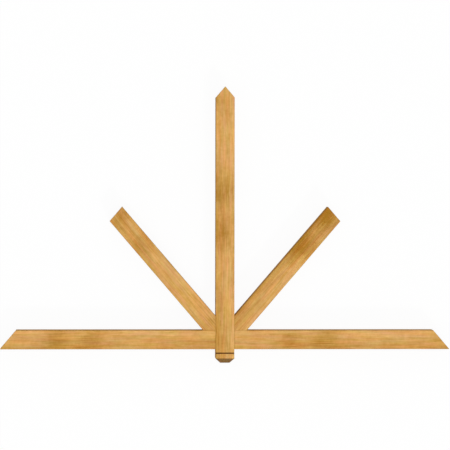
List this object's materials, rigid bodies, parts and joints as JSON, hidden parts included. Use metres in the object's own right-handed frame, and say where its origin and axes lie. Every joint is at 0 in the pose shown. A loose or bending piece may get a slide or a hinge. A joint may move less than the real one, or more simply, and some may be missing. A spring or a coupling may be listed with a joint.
{
  "type": "timber gable bracket",
  "caption": "Timber gable bracket: pointed king post with a chamfered pendant foot, raked tie beam and slanting struts, butted flush to fill the peak of a gable.",
  "frame": {"origin": "on the back plane, where the king post's centreline crosses the line of the beam's underside", "axes": "+X along the beam to the right as seen from the front, +Y up the gable towards the apex, +Z out of the front face; the bracket lies on its back"},
  "size_m": [2.1336, 1.3106, 0.0889],
  "materials": {
    "planed_timber": "satin"
  },
  "bodies": {
    "root": {"king_post": "planed_timber", "left_beam": "planed_timber", "right_beam": "planed_timber", "left_strut": "planed_timber", "right_strut": "planed_timber"}
  },
  "joints": []
}
